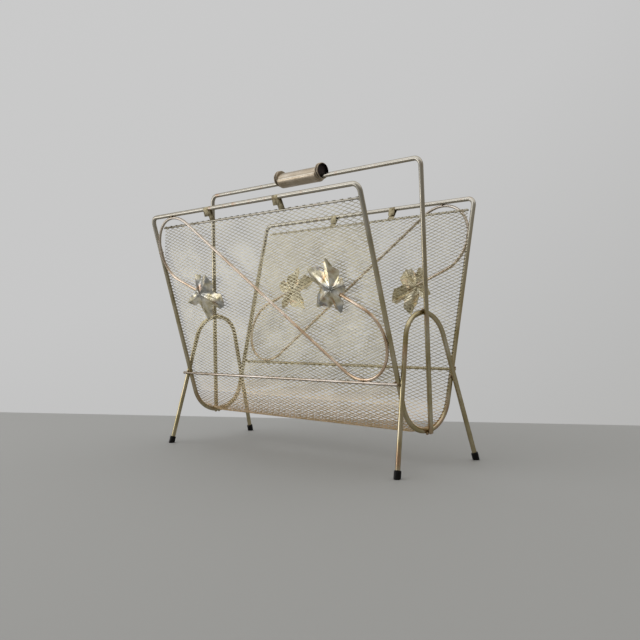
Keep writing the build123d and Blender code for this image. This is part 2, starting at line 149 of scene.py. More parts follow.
# %% [markdown]
# Blender's shaders are trees of nodes. One small helper adds a node and sets or links its inputs by name,
# so that each recipe below reads as a list of steps. Two more make the nodes that are used most. Every link
# could be written out instead, but then one finish fills a page.

# %% Node helpers
def add_node(tree, kind, settings=None, **inputs):
    """Add a node, set its properties, and set or link its inputs."""
    node = tree.nodes.new(kind)
    for key, value in (settings or {}).items():
        setattr(node, key, value)
    for key, value in inputs.items():
        socket = node.inputs[key.replace("_", " ")]
        if isinstance(value, bpy.types.NodeSocket):
            tree.links.new(value, socket)
        else:
            socket.default_value = value
    return node


def colour_ramp(tree, factor, stops):
    """Colours by a factor, from a list of places and colours."""
    ramp = add_node(tree, "ShaderNodeValToRGB", Fac=factor)
    elements = ramp.color_ramp.elements
    while len(elements) < len(stops):
        elements.new(0.5)
    for element, (place, colour) in zip(elements, stops):
        element.position = place
        element.color = (*colour, 1)
    return ramp.outputs["Color"]


def spread(tree, value, low, high, new_low, new_high):
    """Stretch a value from one range to another."""
    ends = {"From_Min": low, "From_Max": high, "To_Min": new_low, "To_Max": new_high}
    return add_node(tree, "ShaderNodeMapRange", Value=value, **ends).outputs["Result"]


print("node helpers are ready")

# %% [markdown]
# A world shader can read the direction that it is seen in. Measured against one bright direction, behind
# the rack, to the left and up, that gives the room its pale and its dim side. Soft lamps add a window and a
# low light on the left, and the bright ceiling. An image of a room could light the rack as well, but this
# needs no file and is easy to tune.

# %% Room and lamps
behind = Vector((-sin(camera_yaw), cos(camera_yaw), 0))
above = Vector((0, 0, 1))
bright_way = (behind * 0.6 - level * 0.35 + above * 0.75).normalized()
world = bpy.data.worlds.new("pale_room")
world.use_nodes = True
room = world.node_tree
seen_way = add_node(room, "ShaderNodeTexCoord").outputs["Generated"]
facing = add_node(room, "ShaderNodeVectorMath", {"operation": "DOT_PRODUCT"})
room.links.new(seen_way, facing.inputs[0])
facing.inputs[1].default_value = bright_way
room_tone = colour_ramp(room, spread(room, facing.outputs["Value"], -1, 1, 0, 1), [
    (0.18, (0.23, 0.21, 0.175)),
    (0.45, (0.37, 0.355, 0.325)),
    (0.70, (0.49, 0.49, 0.485)),
    (0.83, (0.57, 0.57, 0.57)),
    (1.00, (0.60, 0.60, 0.60)),
])
room.links.new(room_tone, room.nodes["Background"].inputs["Color"])
bpy.context.scene.world = world
rack_middle = Vector((0, 0, 0.2))


def aimed(place, way, axis="Z"):
    """A matrix that moves to a place and turns an axis along a way."""
    return Matrix.Translation(place) @ way.to_track_quat(axis, "Y").to_matrix().to_4x4()


def soft_lamp(name, place, width, height, power, colour):
    """A wide lamp that faces the middle of the rack."""
    lamp = bpy.data.lights.new(name, "AREA")
    lamp.shape = "RECTANGLE"
    lamp.size = width
    lamp.size_y = height
    lamp.energy = power
    lamp.color = colour
    holder = bpy.data.objects.new(name, lamp)
    bpy.context.scene.collection.objects.link(holder)
    holder.matrix_world = aimed(place, rack_middle - place, "-Z")


window_place = above * 1.75 - level * 1.5
soft_lamp("window_lamp", window_place, width=2.4, height=1.6, power=10, colour=(0.97, 0.98, 1.0))
side_place = above * 0.32 - level * 2.0
soft_lamp("side_lamp", side_place, width=1.6, height=0.6, power=6, colour=(1.0, 0.98, 0.96))
ceiling_place = Vector((0.3, 0.3, 2.2))
soft_lamp("ceiling_lamp", ceiling_place, width=3.2, height=3.2, power=16, colour=(1.0, 0.98, 0.95))
print("room is set, with lamps for the window, the side and the ceiling")

# %% [markdown]
# Every finish starts as a principled shader. Its patterns are noise on the piece's own coordinates, so they
# stay put when the piece moves. Colours mixed by such noise give patches, and bump gives fine relief.
# Painted textures would need every piece unwrapped first.

# %% Finish helpers
noise_low = 0.3
noise_high = 0.7


def object_noise(tree, scale, detail=3.0, stretch=(1, 1, 1)):
    """Noise on the piece's own coordinates."""
    place = add_node(tree, "ShaderNodeTexCoord").outputs["Object"]
    mapped = add_node(tree, "ShaderNodeMapping", Vector=place, Scale=stretch).outputs["Vector"]
    return add_node(tree, "ShaderNodeTexNoise", Vector=mapped, Scale=scale, Detail=detail).outputs["Fac"]


def height_above_floor(tree):
    """Height in the piece's own coordinates, in metres."""
    place = add_node(tree, "ShaderNodeTexCoord").outputs["Object"]
    return add_node(tree, "ShaderNodeSeparateXYZ", Vector=place).outputs["Z"]


def mix_colours(tree, factor, first, second):
    """Blend two colours by a factor. Inputs 6 and 7 and output 2 are a Mix node's colour sockets."""
    mix = add_node(tree, "ShaderNodeMix", {"data_type": "RGBA"}, Factor=factor)
    tree.links.new(first, mix.inputs[6])
    if isinstance(second, tuple):
        mix.inputs[7].default_value = (*second, 1)
    else:
        tree.links.new(second, mix.inputs[7])
    return mix.outputs[2]


def add_bump(tree, shader, height, distance, strength=1.0):
    """Give the shader small relief."""
    bump = add_node(tree, "ShaderNodeBump", Height=height, Distance=distance, Strength=strength)
    tree.links.new(bump.outputs["Normal"], shader.inputs["Normal"])


def vary_gloss(tree, shader, pattern, smooth, rough):
    """Let a pattern vary how rough the surface is."""
    tree.links.new(spread(tree, pattern, noise_low, noise_high, smooth, rough), shader.inputs["Roughness"])


print("finish helpers are ready")

# %% [markdown]
# The plating on the wire is a dulled champagne gold. It is cloudy, olive where it has tarnished, and low
# down the copper flash under it shows through. The scrolls are redder and the front stretcher is a pinkish
# grey. One recipe with three sets of colours makes all of these, so that they wear alike.

# %% Finish of the plated wire
def make_wire_finish(name, dark, middle, light):
    """Champagne gold plating, cloudy and worn."""
    material, tree, shader = start_finish(name, 1.0)
    shader.inputs["Specular Tint"].default_value = (0.42, 0.36, 0.25, 1)
    plating = colour_ramp(tree, object_noise(tree, 34, 4), [(0.30, dark), (0.50, middle), (0.70, light)])
    faded = spread(tree, height_above_floor(tree), 0.20, 0.34, 0.0, 0.8)
    gold = mix_colours(tree, faded, plating, (0.48, 0.465, 0.435))
    wear = object_noise(tree, 55, 5, (1, 1, 0.35))
    lowness = spread(tree, height_above_floor(tree), 0.03, 0.16, 0.10, 0.0)
    worn = add_node(tree, "ShaderNodeMath", {"operation": "ADD"})
    tree.links.new(wear, worn.inputs[0])
    tree.links.new(lowness, worn.inputs[1])
    copper_share = spread(tree, worn.outputs[0], 0.62, 0.76, 0.0, 0.7)
    colour = mix_colours(tree, copper_share, gold, (0.48, 0.30, 0.20))
    tree.links.new(colour, shader.inputs["Base Color"])
    vary_gloss(tree, shader, object_noise(tree, 90, 3), 0.14, 0.24)
    add_bump(tree, shader, object_noise(tree, 600, 2), 0.015 * mm, 0.4)
    return material


wire_finish = make_wire_finish(
    "plated_wire_finish", (0.36, 0.30, 0.15), (0.50, 0.435, 0.28), (0.62, 0.56, 0.43)
)
scroll_finish = make_wire_finish(
    "scroll_wire_finish", (0.45, 0.30, 0.17), (0.79, 0.61, 0.45), (0.99, 0.89, 0.79)
)
stretcher_finish = make_wire_finish(
    "stretcher_wire_finish", (0.44, 0.37, 0.29), (0.60, 0.53, 0.46), (0.76, 0.70, 0.64)
)
print("made", wire_finish.name, scroll_finish.name, stretcher_finish.name)

# %% [markdown]
# The expanded metal has the same plating, but each strand is cut and twisted, so it looks greyer. Towards
# the bottom of the trough it turns coppery pink. Two materials could meet there, but would leave a hard
# line, so the height above the floor mixes two colours in one.

# %% Finish of the mesh
def make_mesh_finish():
    """Grey champagne strands, coppery low down."""
    material, tree, shader = start_finish("mesh_finish", 0.9)
    strand = colour_ramp(tree, object_noise(tree, 22, 3), [
        (0.32, (0.25, 0.22, 0.14)),
        (0.52, (0.40, 0.36, 0.24)),
        (0.70, (0.57, 0.53, 0.40)),
    ])
    copper = colour_ramp(tree, object_noise(tree, 40, 3), [
        (0.35, (0.62, 0.46, 0.24)),
        (0.65, (0.82, 0.64, 0.44)),
    ])
    low_share = spread(tree, height_above_floor(tree), 0.055, 0.105, 0.95, 0.0)
    tree.links.new(mix_colours(tree, low_share, strand, copper), shader.inputs["Base Color"])
    vary_gloss(tree, shader, object_noise(tree, 300, 2), 0.32, 0.5)
    return material


mesh_finish = make_mesh_finish()
print("made", mesh_finish.name)

# %% [markdown]
# The leaves are the brightest pieces: thin stamped sheet with reddish stains and fine relief. The front
# ones are worn to silver, the rear ones are still olive gold. Patches of blue grey are a painted reflection
# of the sky, many on the front leaves and few on the rear ones. A smooth surface gives the white glints.
# Painted glints would stay put when the view changes.

# %% Finish of the leaves
def make_leaf_finish(name, dark, middle, light, sky_reflection):
    """Bright stamped sheet, mottled and stained, with blue grey patches of painted sky reflection."""
    material, tree, shader = start_finish(name, 0.95)
    gold = colour_ramp(tree, object_noise(tree, 95, 4), [(0.30, dark), (0.48, middle), (0.68, light)])
    # Blue grey patches: a painted reflection of the sky.
    sky_reflection_share = spread(tree, object_noise(tree, 52, 2), 0.50, 0.60, 0.0, sky_reflection)
    metal = mix_colours(tree, sky_reflection_share, gold, (0.30, 0.32, 0.34))
    stain = spread(tree, object_noise(tree, 70, 5), 0.54, 0.68, 0.0, 0.7)
    tree.links.new(mix_colours(tree, stain, metal, (0.42, 0.24, 0.12)), shader.inputs["Base Color"])
    vary_gloss(tree, shader, object_noise(tree, 160, 3), 0.08, 0.26)
    add_bump(tree, shader, object_noise(tree, 420, 3), 0.08 * mm, 0.5)
    return material


leaf_finishes = {
    "front": make_leaf_finish(
        "front_leaf_finish", (0.36, 0.31, 0.16), (0.78, 0.71, 0.52), (0.97, 0.94, 0.86), 0.75
    ),
    "rear": make_leaf_finish(
        "rear_leaf_finish", (0.36, 0.30, 0.16), (0.64, 0.57, 0.38), (0.86, 0.81, 0.65), 0.2
    ),
}
print("made", [finish.name for finish in leaf_finishes.values()])

# %% [markdown]
# The grip is brown satin sheet. Rolling left faint lines along it, so its noise is stretched along the
# rack. A bright strip along the lapped edge is a painted highlight, and the near-black inside of the grip
# is painted shade. Clips and welds are dull and mottled, and the feet are black rubber. All but the grip
# can share one plain recipe, which a table fills in.

# %% Finishes of the small pieces
def make_grip_finish():
    """Satin brown sheet with faint lines along it."""
    material, tree, shader = start_finish("grip_finish", 0.85)
    brown = colour_ramp(tree, object_noise(tree, 60, 4, (0.5, 1, 1)), [
        (0.30, (0.34, 0.27, 0.18)),
        (0.55, (0.47, 0.40, 0.31)),
        (0.75, (0.58, 0.52, 0.44)),
    ])
    tree.links.new(brown, shader.inputs["Base Color"])
    lines = object_noise(tree, 900, 2, (0.04, 1, 1))
    vary_gloss(tree, shader, lines, 0.26, 0.44)
    add_bump(tree, shader, lines, 0.04 * mm, 0.5)
    return material


def make_dull_finish(name, metallic, dark, light, grain, roughness, relief):
    """A dull surface, mottled between two colours."""
    material, tree, shader = start_finish(name, metallic)
    shader.inputs["Roughness"].default_value = roughness
    mottle = colour_ramp(tree, object_noise(tree, grain, 4), [(0.35, dark), (0.68, light)])
    tree.links.new(mottle, shader.inputs["Base Color"])
    add_bump(tree, shader, object_noise(tree, grain * 6, 2), relief, 0.6)
    return material


grip_finish = make_grip_finish()
dull_recipes = {
    # Painted highlight: the bright strip along the grip's lap.
    "lap_highlight": (0.9, (0.70, 0.64, 0.52), (0.92, 0.88, 0.80), 200, 0.3, 0.02 * mm),
    # Painted shade: near black inside the grip and in the collars' grooves.
    "painted_shade": (0.4, (0.012, 0.009, 0.010), (0.05, 0.035, 0.035), 300, 0.6, 0.05 * mm),
    "clip": (0.85, (0.17, 0.135, 0.075), (0.52, 0.46, 0.30), 160, 0.34, 0.05 * mm),
    "weld": (0.75, (0.24, 0.15, 0.085), (0.56, 0.45, 0.30), 420, 0.45, 0.12 * mm),
    "rubber": (0.0, (0.003, 0.003, 0.003), (0.010, 0.0095, 0.009), 500, 0.38, 0.05 * mm),
}
dull = {name: make_dull_finish(f"{name}_finish", *recipe) for name, recipe in dull_recipes.items()}
rubber_shader = dull["rubber"].node_tree.nodes["Principled BSDF"]
rubber_shader.inputs["Specular IOR Level"].default_value = 0.15
print("made", grip_finish.name, [finish.name for finish in dull.values()])

# %% [markdown]
# A wire bender makes a rod by turns: feed a straight run, then bend. The same two moves draw a rod in
# Blender. A ring of edges is extruded along a run, and a bend spins the ring about the bend's centre. A
# curve with a round bevel is quicker to draw, but these moves give true arcs and an even ring at every
# step.

# %% Two moves of a bender
wire_sides = 20
bend_step = radians(6)


def grow_ring(bm, ring):
    """Extrude a ring of edges on the spot, and give its new points and edges."""
    fed = bmesh.ops.extrude_edge_only(bm, edges=ring)["geom"]
    points = [part for part in fed if isinstance(part, bmesh.types.BMVert)]
    edges = [part for part in fed if isinstance(part, bmesh.types.BMEdge) and len(part.link_faces) == 1]
    return points, edges


def extrude_ring(bm, ring, move):
    """Feed a ring of edges straight ahead."""
    points, edges = grow_ring(bm, ring)
    bmesh.ops.translate(bm, verts=points, vec=move)
    return edges


def spin_ring(bm, ring, centre, axis, angle):
    """Bend a ring of edges about an axis."""
    steps = max(2, ceil(abs(angle) / bend_step))
    spun = bmesh.ops.spin(bm, geom=ring, cent=centre, axis=axis, angle=angle, steps=steps)
    return [part for part in spun["geom_last"] if isinstance(part, bmesh.types.BMEdge)]


def face_outwards(bm):
    """Turn every face to the outside."""
    bmesh.ops.recalc_face_normals(bm, faces=bm.faces)


def round_edges(bm, edges, size, segments):
    """Bevel edges to an even round."""
    bmesh.ops.bevel(
        bm, geom=edges, offset=size, offset_type="OFFSET", segments=segments, profile=0.5,
        affect="EDGES", material=-1,
    )


print("bends are drawn in steps of", round(bend_step * 180 / pi), "degrees")

# %% Wire bender
tip_round = 0.22


def bend_wire(start, heading, moves, radius):
    """A round wire: each move is a run, (length,), or a bend, (bend radius, angle, axis)."""
    bm = bmesh.new()
    place = start.copy()
    way = heading.normalized()
    turned = aimed(place, way)
    bmesh.ops.create_circle(bm, cap_ends=True, segments=wire_sides, radius=radius, matrix=turned)
    first_ring = list(bm.edges)
    ring = first_ring
    for move in moves:
        if len(move) == 1:
            ring = extrude_ring(bm, ring, way * move[0])
            place = place + way * move[0]
        else:
            bend, angle, axis = move
            turn = Matrix.Rotation(angle, 3, axis)
            centre = place + axis.cross(way).normalized() * (bend if angle > 0 else -bend)
            ring = spin_ring(bm, ring, centre, axis, angle)
            place = centre + turn @ (place - centre)
            way = turn @ way
    bmesh.ops.contextual_create(bm, geom=ring)
    face_outwards(bm)
    round_edges(bm, first_ring + ring, radius * tip_round, 3)
    return bm


def moves_through(corners, bends):
    """Runs and bends of a wire through corner points."""
    moves = []
    spare = 0.0
    for before, corner, after, bend in zip(corners, corners[1:], corners[2:], bends):
        first = (corner - before).normalized()
        second = (after - corner).normalized()
        angle = first.angle(second)
        tangent = bend * tan(angle / 2)
        moves.append(((corner - before).length - tangent - spare,))
        moves.append((bend, angle, first.cross(second).normalized()))
        spare = tangent
    moves.append(((corners[-1] - corners[-2]).length - spare,))
    return moves


print("a wire has", wire_sides, "sides")

# %% [markdown]
# Every finished piece stands for one node of the frame. It rides on that node's body, takes the node's
# place in the picture, and gets its finishes. Edges sharper than a set angle stay crisp, and all others are
# shaded smooth. The calls for that could follow each piece, but in one helper none is forgotten.

# %% Pieces of the frame
sharp_angle = radians(50)


def frame_piece(bm, node, materials, body="frame"):
    """Finish a piece that stands for a node of the frame."""
    piece = object_from(bm, node + "_look", materials)
    piece.data.set_sharp_from_angle(angle=sharp_angle)
    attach(piece, body)
    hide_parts(node)
    return piece


print("the frame has", len(frame["nodes"]), "nodes to stand for")

# %% [markdown]
# The two hoops are bent from rod, as the handle and the arches are. Each starts in the middle of one end,
# at the bottom, goes round the trough's bend, up the leaning side, along the top rail and down again. It is
# drawn from its corner points and bend radii, and its place comes from the box of its node. The runs could
# be measured one by one, but corners are how a drawing gives such a rod.

# %% Hoops
rod_radius = 3.0 * mm
rail_bend = 10.0 * mm
trough_half = 35.0 * mm
hoop_end_run = 1.0 * mm
seat_gap = 0.05 * mm

hoop_low, hoop_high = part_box("front_hoop")
half_length = hoop_high.x - rod_radius
rail_z = hoop_high.z - rod_radius
rail_y = -hoop_low.y - rod_radius
trough_z = hoop_low.z + rod_radius
lean = atan2(rail_y - trough_half, rail_z - trough_z)
bottom_turn = pi / 2 - lean
bottom_tangent = trough_half - hoop_end_run
bottom_bend = bottom_tangent / tan(bottom_turn / 2)
side_turn = {"front": 1, "rear": -1}


def bend_rod(corners, bends):
    """A thick rod through corner points."""
    return bend_wire(corners[0], corners[1] - corners[0], moves_through(corners, bends), rod_radius)


for side, turn in side_turn.items():
    right_half = [
        Vector((half_length, -turn * seat_gap, trough_z)),
        Vector((half_length, -turn * trough_half, trough_z)),
        Vector((half_length, -turn * rail_y, rail_z)),
    ]
    left_half = [Vector((-corner.x, corner.y, corner.z)) for corner in reversed(right_half)]
    bm = bend_rod(right_half + left_half, [bottom_bend, rail_bend, rail_bend, bottom_bend])
    frame_piece(bm, f"{side}_hoop", [wire_finish])
print("hoops lean", round(lean * 180 / pi, 2), "degrees")

# %% [markdown]
# The handle is a third rod, bent twice, that stands in the middle of the rack. Its two uprights lean in a
# little towards the top. The same bender takes its four corner points. Half of it could be mirrored, but
# that would leave a seam in the middle of the rail.

# %% Handle
handle_bend = 10.0 * mm
handle_corner_x = 206.5 * mm
handle_low, handle_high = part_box("handle_frame")
handle_z = handle_high.z - rod_radius
handle_foot_x = handle_high.x - rod_radius
corners = [
    Vector((handle_foot_x, 0, handle_low.z)),
    Vector((handle_corner_x, 0, handle_z)),
    Vector((-handle_corner_x, 0, handle_z)),
    Vector((-handle_foot_x, 0, handle_low.z)),
]
bm = bend_rod(corners, [handle_bend, handle_bend])
frame_piece(bm, "handle_frame", [wire_finish])
print("handle stands", round(handle_z / mm, 1), "mm high")

# %% [markdown]
# Each arch is a rod with one wide bend, whose two legs spread towards the feet. It lies in a plane that
# leans in over the rack, so its points are first placed in that plane. The feet come from the record, whose
# first mount is a foot on the floor. An arch drawn upright and then turned would be the same, but three
# points are less work.

# %% Leg arches
leg_lean = radians(5.8)
arch_height = 189.5 * mm
arch_bend = 37.7 * mm
cap_sole = 2.2 * mm
foot_x, foot_y, _ = frame["record"]["mounts"][0]["pos_m"]
foot_half = abs(foot_y)
bend_middle = arch_height / cos(leg_lean) - arch_bend
leg_angle = acos(arch_bend / hypot(foot_half, bend_middle)) - atan2(bend_middle, foot_half)
arch_peak = foot_half / tan(leg_angle)


def on_arch(turn, across, up):
    """A point of an arch's own leaning plane."""
    return Vector((turn * (foot_x - up * sin(leg_lean)), across, up * cos(leg_lean)))


end_turn = {"right": 1, "left": -1}
for end, turn in end_turn.items():
    leg_foot = foot_half - cap_sole * sin(leg_angle)
    leg_rise = cap_sole * cos(leg_angle)
    corners = [
        on_arch(turn, -leg_foot, leg_rise),
        on_arch(turn, 0, arch_peak),
        on_arch(turn, leg_foot, leg_rise),
    ]
    bm = bend_rod(corners, [arch_bend])
    frame_piece(bm, f"{end}_leg_arch", [wire_finish])
print("arch peak", round(arch_peak / mm, 1), "mm up its plane")

# %% [markdown]
# Stretchers and mesh rods are straight wires along the rack. Each is rebuilt from its node's own box. A
# plain cylinder would do too, but the bender also rounds the edges of the ends.

# %% Straight wires
along_rack = Vector((1, 0, 0))
for side in side_turn:
    for kind in ("stretcher", "mesh_rod"):
        node = f"{side}_{kind}"
        low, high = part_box(node)
        middle = (low + high) / 2
        start = Vector((low.x, middle.y, middle.z))
        bm = bend_wire(start, along_rack, [(high.x - low.x,)], (high.z - low.z) / 2)
        finish = stretcher_finish if node == "front_stretcher" else wire_finish
        frame_piece(bm, node, [finish])
        print(node, "is", round((high.x - low.x) / mm, 1), "mm long")

# %% [markdown]
# Scrolls, leaves and clips lie on the two leaning sides, so they are drawn flat first. A matrix for each
# side takes them to their place: X along the rack, Y up the side and Z outwards. They could be drawn in
# place, but a flat shape is easier to reckon and to check.

# %% Leaning sides
hoop_y_floor = trough_half - trough_z * tan(lean)
side_frame = {}
for side, turn in side_turn.items():
    side_frame[side] = Matrix((
        (turn, 0, 0, 0),
        (0, -turn * sin(lean), -turn * cos(lean), -turn * hoop_y_floor),
        (0, cos(lean), -sin(lean), 0),
        (0, 0, 0, 1),
    ))
rail_up = rail_z / cos(lean)


def up_the_side(node):
    """How far up the leaning side the middle of a wire lies."""
    low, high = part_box(node)
    middle = (low + high) / 2
    return (abs(middle.y) - hoop_y_floor) * sin(lean) + middle.z * cos(lean)


print("top rail is", round(rail_up / mm, 1), "mm up the side")

# %% [markdown]
# Each scroll is one thin wire in the plane of its side. Drawn flat, it is a tail, a loop of a bit more than
# half a turn, a long diagonal that touches both loops, and the second loop and tail. The loops rest on the
# hoop, the rail and the stretcher, which gives their centres. A free curve could be fitted by eye, but true
# arcs with tangents look like bent wire.

# %% Scroll routes
wire_radius = 1.9 * mm
scroll_loop = 47.5 * mm
scroll_tail = 48.0 * mm
scroll_turns = {
    "front": {"upper": radians(196), "lower": radians(190)},
    "rear": {"upper": radians(196), "lower": radians(196)},
}
loop_turn = {"upper": 1, "lower": -1}
stretcher_out = rod_radius + wire_radius + seat_gap
scroll_out = stretcher_out / 2


def scroll_route(side):
    """Middle of a scroll, its upper loop's centre from there, and the angle at which that loop starts."""
    rod_reach = sqrt(stretcher_out**2 - scroll_out**2)
    wire_reach = sqrt((2 * wire_radius + seat_gap) ** 2 - scroll_out**2)
    loop_x = half_length - rod_reach - scroll_loop
    top_up = rail_up - rod_reach - scroll_loop
    low_up = up_the_side(f"{side}_stretcher") + wire_reach + scroll_loop
    half_rise = (top_up - low_up) / 2
    heading = atan2(half_rise, -loop_x) - asin(scroll_loop / hypot(loop_x, half_rise))
    return Vector((0, (top_up + low_up) / 2, 0)), Vector((-loop_x, half_rise, 0)), heading - pi / 2


def scroll_end(side, loop):
    """The tip of a loop's tail, and the way that the tail points."""
    middle, centre, start = scroll_route(side)
    turn = loop_turn[loop]
    angle = start + scroll_turns[side][loop]
    tail_way = Vector((-sin(angle), cos(angle), 0)) * turn
    loop_end = middle + (centre + Vector((cos(angle), sin(angle), 0)) * scroll_loop) * turn
    return loop_end + tail_way * scroll_tail, tail_way


print("scroll loops are", round(2 * scroll_loop / mm, 1), "mm across")

# %% Scroll wires
out = Vector((0, 0, 1))
for side in side_turn:
    _, centre, _ = scroll_route(side)
    diagonal = 2 * sqrt(centre.length_squared - scroll_loop**2)
    tip, tail_way = scroll_end(side, "upper")
    moves = [
        (scroll_tail,),
        (scroll_loop, -scroll_turns[side]["upper"], out),
        (diagonal,),
        (scroll_loop, scroll_turns[side]["lower"], out),
        (scroll_tail,),
    ]
    bm = bend_wire(tip + out * scroll_out, -tail_way, moves, wire_radius)
    bmesh.ops.transform(bm, matrix=side_frame[side], verts=bm.verts)
    frame_piece(bm, f"{side}_scroll_wire", [scroll_finish])
    print(side, "scroll's diagonal is", round(diagonal / mm, 1), "mm")

# %% [markdown]
# Expanded metal is a sheet slit in staggered rows and pulled until each slit opens into a diamond. A grid
# turned by 45 degrees and stretched is such a field of diamonds. Insetting every face leaves the strands,
# and the inner faces are taken out. On the real sheet each strand is tilted, so the points are tilted
# before the sheet gets its thickness. A flat picture with holes would be lighter, but from near by it has
# no edges that catch the light.

# %% Expanded sheet, drawn flat
cell_long = 12.7 * mm
cell_short = 4.76 * mm
strand_half = 0.28 * mm
strand_tilt = 0.6
sheet_thickness = 0.4 * mm
mesh_half = 207.0 * mm


def trim(bm, point, outward, clear=True):
    """Cut along a plane, and clear away what is beyond it."""
    everything = bm.verts[:] + bm.edges[:] + bm.faces[:]
    bmesh.ops.bisect_plane(bm, geom=everything, plane_co=point, plane_no=outward, clear_outer=clear)


def trim_strip(bm, half, low, high):
    """Cut a flat sheet to a strip."""
    trim(bm, (0, high, 0), (0, 1, 0))
    trim(bm, (0, low, 0), (0, -1, 0))
    trim(bm, (half, 0, 0), (1, 0, 0))
    trim(bm, (-half, 0, 0), (-1, 0, 0))


def expanded_sheet(low, high):
    """A flat strip of expanded metal, from one length along the sheet to another."""
    bm = bmesh.new()
    count = 2 * ceil(mesh_half / cell_long + (high - low) / cell_short / 2 + 2)
    bmesh.ops.create_grid(bm, x_segments=count, y_segments=count, size=count / sqrt(8))
    bmesh.ops.rotate(bm, matrix=Matrix.Rotation(pi / 4, 3, "Z"), verts=bm.verts)
    bmesh.ops.scale(bm, vec=(cell_long, cell_short, 1), verts=bm.verts)
    bmesh.ops.translate(bm, vec=(0, round((low + high) / 2 / cell_short) * cell_short, 0), verts=bm.verts)
    trim_strip(bm, mesh_half + cell_long, low - cell_short, high + cell_short)
    gaps = bm.faces[:]
    bmesh.ops.inset_individual(bm, faces=gaps, thickness=strand_half, use_even_offset=True)
    bmesh.ops.delete(bm, geom=gaps, context="FACES_ONLY")
    trim_strip(bm, mesh_half, low, high)
    return bm


def thicken(bm, thickness):
    """Give a sheet its thickness."""
    bmesh.ops.solidify(bm, geom=bm.faces[:], thickness=thickness)
    face_outwards(bm)


def tilt_and_thicken(bm):
    """Tilt the strands, and lay the middle of the thick sheet at zero."""
    half_cell = cell_short / 2
    for vert in bm.verts:
        vert.co.z = -strand_tilt * (vert.co.y - round(vert.co.y / half_cell) * half_cell)
    thicken(bm, sheet_thickness)
    middle = sum(vert.co.z for vert in bm.verts) / len(bm.verts)
    bmesh.ops.translate(bm, vec=(0, 0, -middle), verts=bm.verts)


print("diamonds are", cell_long / mm, "by", cell_short / mm, "mm")

# %% [markdown]
# The sheet lies inside the hoops: flat across the bottom, round the bends, up both sides, and at the top it
# bows inwards and rolls over its rod, so the cut ends hang outside. Between the hoops the bottom has sagged
# by a few millimetres. One rule takes a point of the flat sheet there, by how far it is along the sheet
# from the middle of the trough. A row of bend modifiers could do it, but one rule keeps the diamonds at
# their size.

# %% Where the sheet goes
sheet_clearance = 0.5 * mm
mesh_out = rod_radius + seat_gap + sheet_clearance
mesh_bend = bottom_bend - mesh_out
bend_z = trough_z + bottom_bend
bend_length = mesh_bend * bottom_turn
side_start = hoop_end_run + bend_length
bend_up = (trough_half - hoop_y_floor) * sin(lean) + trough_z * cos(lean) + bottom_tangent
rod_up = up_the_side("front_mesh_rod")
rod_low, rod_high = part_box("front_mesh_rod")
mesh_rod_radius = (rod_high.z - rod_low.z) / 2
rod_inwards = rod_radius + seat_gap + mesh_rod_radius
roll_gap = 0.15 * mm
roll_radius = mesh_rod_radius + sheet_thickness / 2 + roll_gap
roll_angle = radians(110)
roll_steps = 10
bow_length = 45.0 * mm
roll_start = side_start + rod_up - bend_up
sheet_end = roll_start + roll_radius * roll_angle
corner_cut = 49.0 * mm
wave_height = 0.5 * mm
wave_length = 70.0 * mm
wave_width = 90.0 * mm
sag_depth = 5.0 * mm
sag_more = 1.2 * mm
sag_run = 18.0 * mm


def on_side(turn, x, up, out):
    """A point of a leaning side, by its height up the side and how far out it is."""
    across = hoop_y_floor + up * sin(lean) + out * cos(lean)
    return Vector((x, -turn * across, up * cos(lean) - out * sin(lean)))


def ease(share):
    """A share from 0 to 1 that starts and ends gently."""
    share = min(1.0, max(0.0, share))
    return share * share * (3 - 2 * share)


def sag_at(x):
    """How far the bottom of the sheet hangs between the hoops."""
    share = ease((mesh_half - rod_radius - abs(x)) / sag_run)
    return (sag_depth + sag_more * x / mesh_half) * share


def on_sheet(point):
    """Where a point of the flat sheet lies on the rack."""
    turn = 1 if point.y >= 0 else -1
    along = abs(point.y)
    out = point.z
    if along < hoop_end_run:
        return Vector((point.x, -turn * along, bend_z - mesh_bend - out - sag_at(point.x)))
    if along < side_start:
        angle = (along - hoop_end_run) / mesh_bend
        reach = mesh_bend + out
        drop = sag_at(point.x) * cos(angle / bottom_turn * pi / 2) ** 2
        across = hoop_end_run + reach * sin(angle)
        return Vector((point.x, -turn * across, bend_z - reach * cos(angle) - drop))
    up = bend_up + along - side_start
    roll_in = -rod_inwards - roll_radius
    if along < roll_start:
        bow = ease(1 - (roll_start - along) / bow_length)
        ripple = noise.noise(Vector((point.x / wave_length, along / wave_width, turn)))
        wave = wave_height * ripple * (1 - bow)
        return on_side(turn, point.x, up, (1 - bow) * (wave - mesh_out) + bow * roll_in + out)
    angle = (along - roll_start) / roll_radius
    reach = roll_radius - out
    return on_side(turn, point.x, rod_up + reach * sin(angle), -rod_inwards - reach * cos(angle))


print("sheet is", round(2 * sheet_end / mm), "mm long before it is bent")

# %% [markdown]
# The frame holds the sheet as three nodes, so it is made as three strips that meet where the bends end. The
# two sides lose their upper corners, which are cut back to the ends of the rods. Lines scored along the top
# let it roll over the rod in small steps. One strip could be cut up afterwards, but its cut edges would
# then need closing.

# %% Mesh pieces
def mesh_piece(node, low, high, turn=0):
    """Cut a strip of sheet, shape its top where it has one, and bend it into place."""
    bm = expanded_sheet(low, high)
    if turn:
        for edge, way in ((rod_high.x, 1), (rod_low.x, -1)):
            slope = (mesh_half - abs(edge)) / corner_cut
            trim(bm, (way * mesh_half, turn * (roll_start - corner_cut), 0), (way, turn * slope, 0))
        for step in range(roll_steps):
            line = turn * (roll_start + (sheet_end - roll_start) * step / roll_steps)
            trim(bm, (0, line, 0), (0, 1, 0), clear=False)
    tilt_and_thicken(bm)
    if turn == -1:
        bmesh.ops.scale(bm, vec=(1, 1, -1), verts=bm.verts)
    for vert in bm.verts:
        vert.co = on_sheet(vert.co)
    face_outwards(bm)
    piece = frame_piece(bm, node, [mesh_finish])
    print(node, "has", len(piece.data.polygons), "faces")


